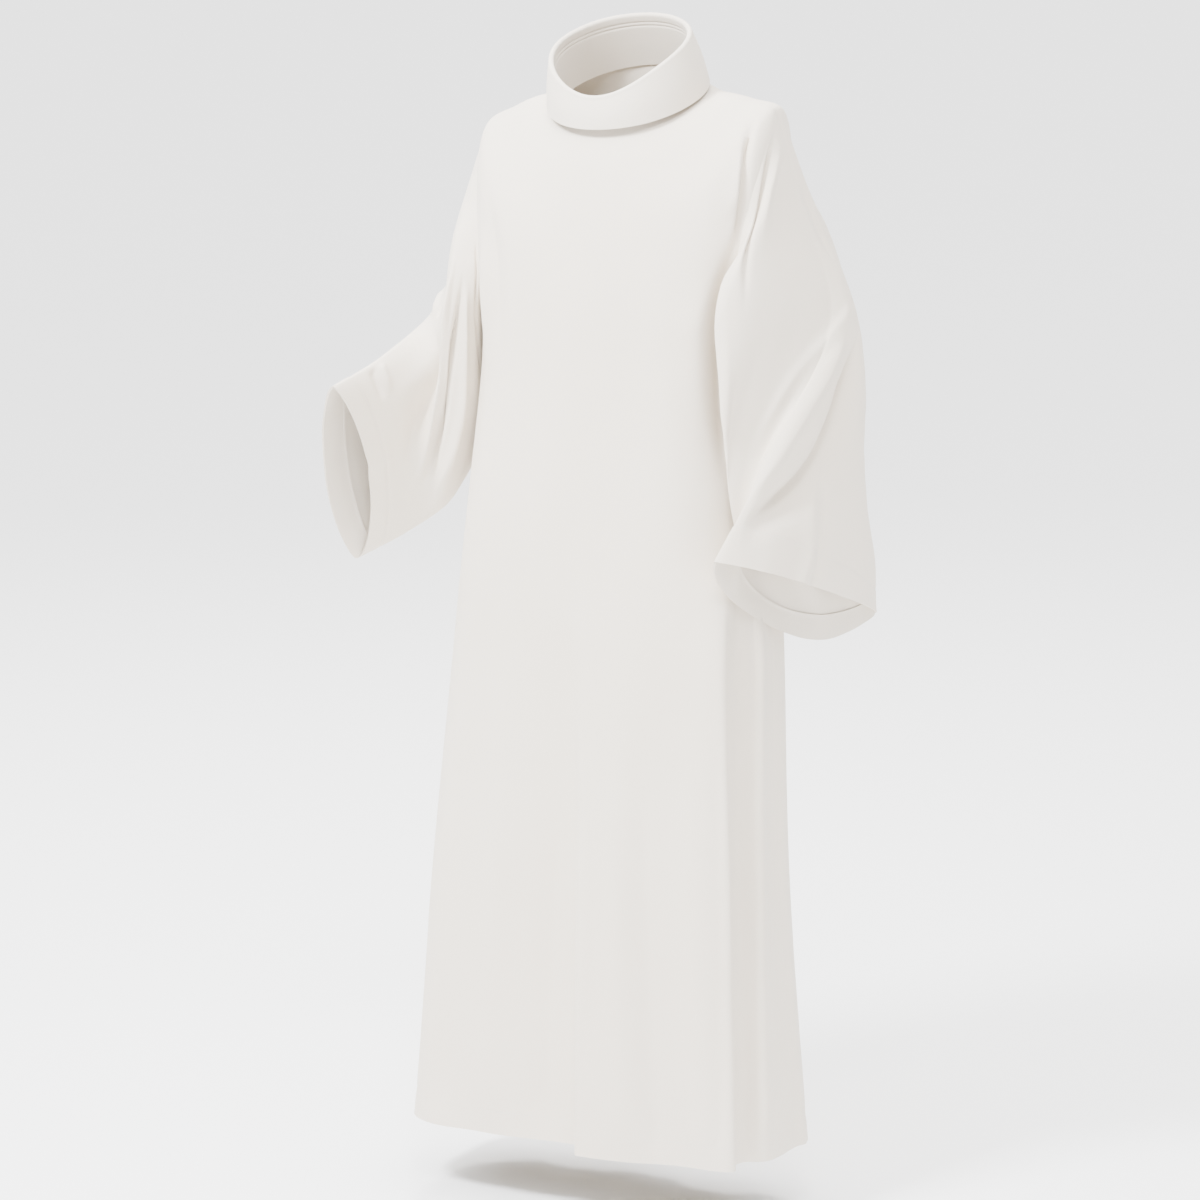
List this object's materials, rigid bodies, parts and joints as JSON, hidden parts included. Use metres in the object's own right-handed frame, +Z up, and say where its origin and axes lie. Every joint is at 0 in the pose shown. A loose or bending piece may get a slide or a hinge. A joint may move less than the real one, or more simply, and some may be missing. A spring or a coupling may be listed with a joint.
{
  "type": "alb",
  "caption": "Ankle-length robe with a fold-over roll collar, wide set-in sleeves and turned-up hems, open at neck, cuffs and foot, in its hollow worn form.",
  "frame": {"origin": "middle of the neck opening, level with the foot of the collar at the sides, where the wearer's neck and shoulders hold the garment", "axes": "+Z up, the front of the garment towards -Y, the wearer's left towards +X"},
  "size_m": [0.7236, 0.4208, 1.5796],
  "materials": {
    "cloth": "matt, fine plain weave"
  },
  "bodies": {
    "root": {"front_panel": "cloth", "back_panel": "cloth", "sleeve_left": "cloth", "sleeve_right": "cloth", "collar": "cloth", "cuff_hem_left": "cloth", "cuff_hem_right": "cloth", "hem_front": "cloth", "hem_back": "cloth"}
  },
  "joints": []
}
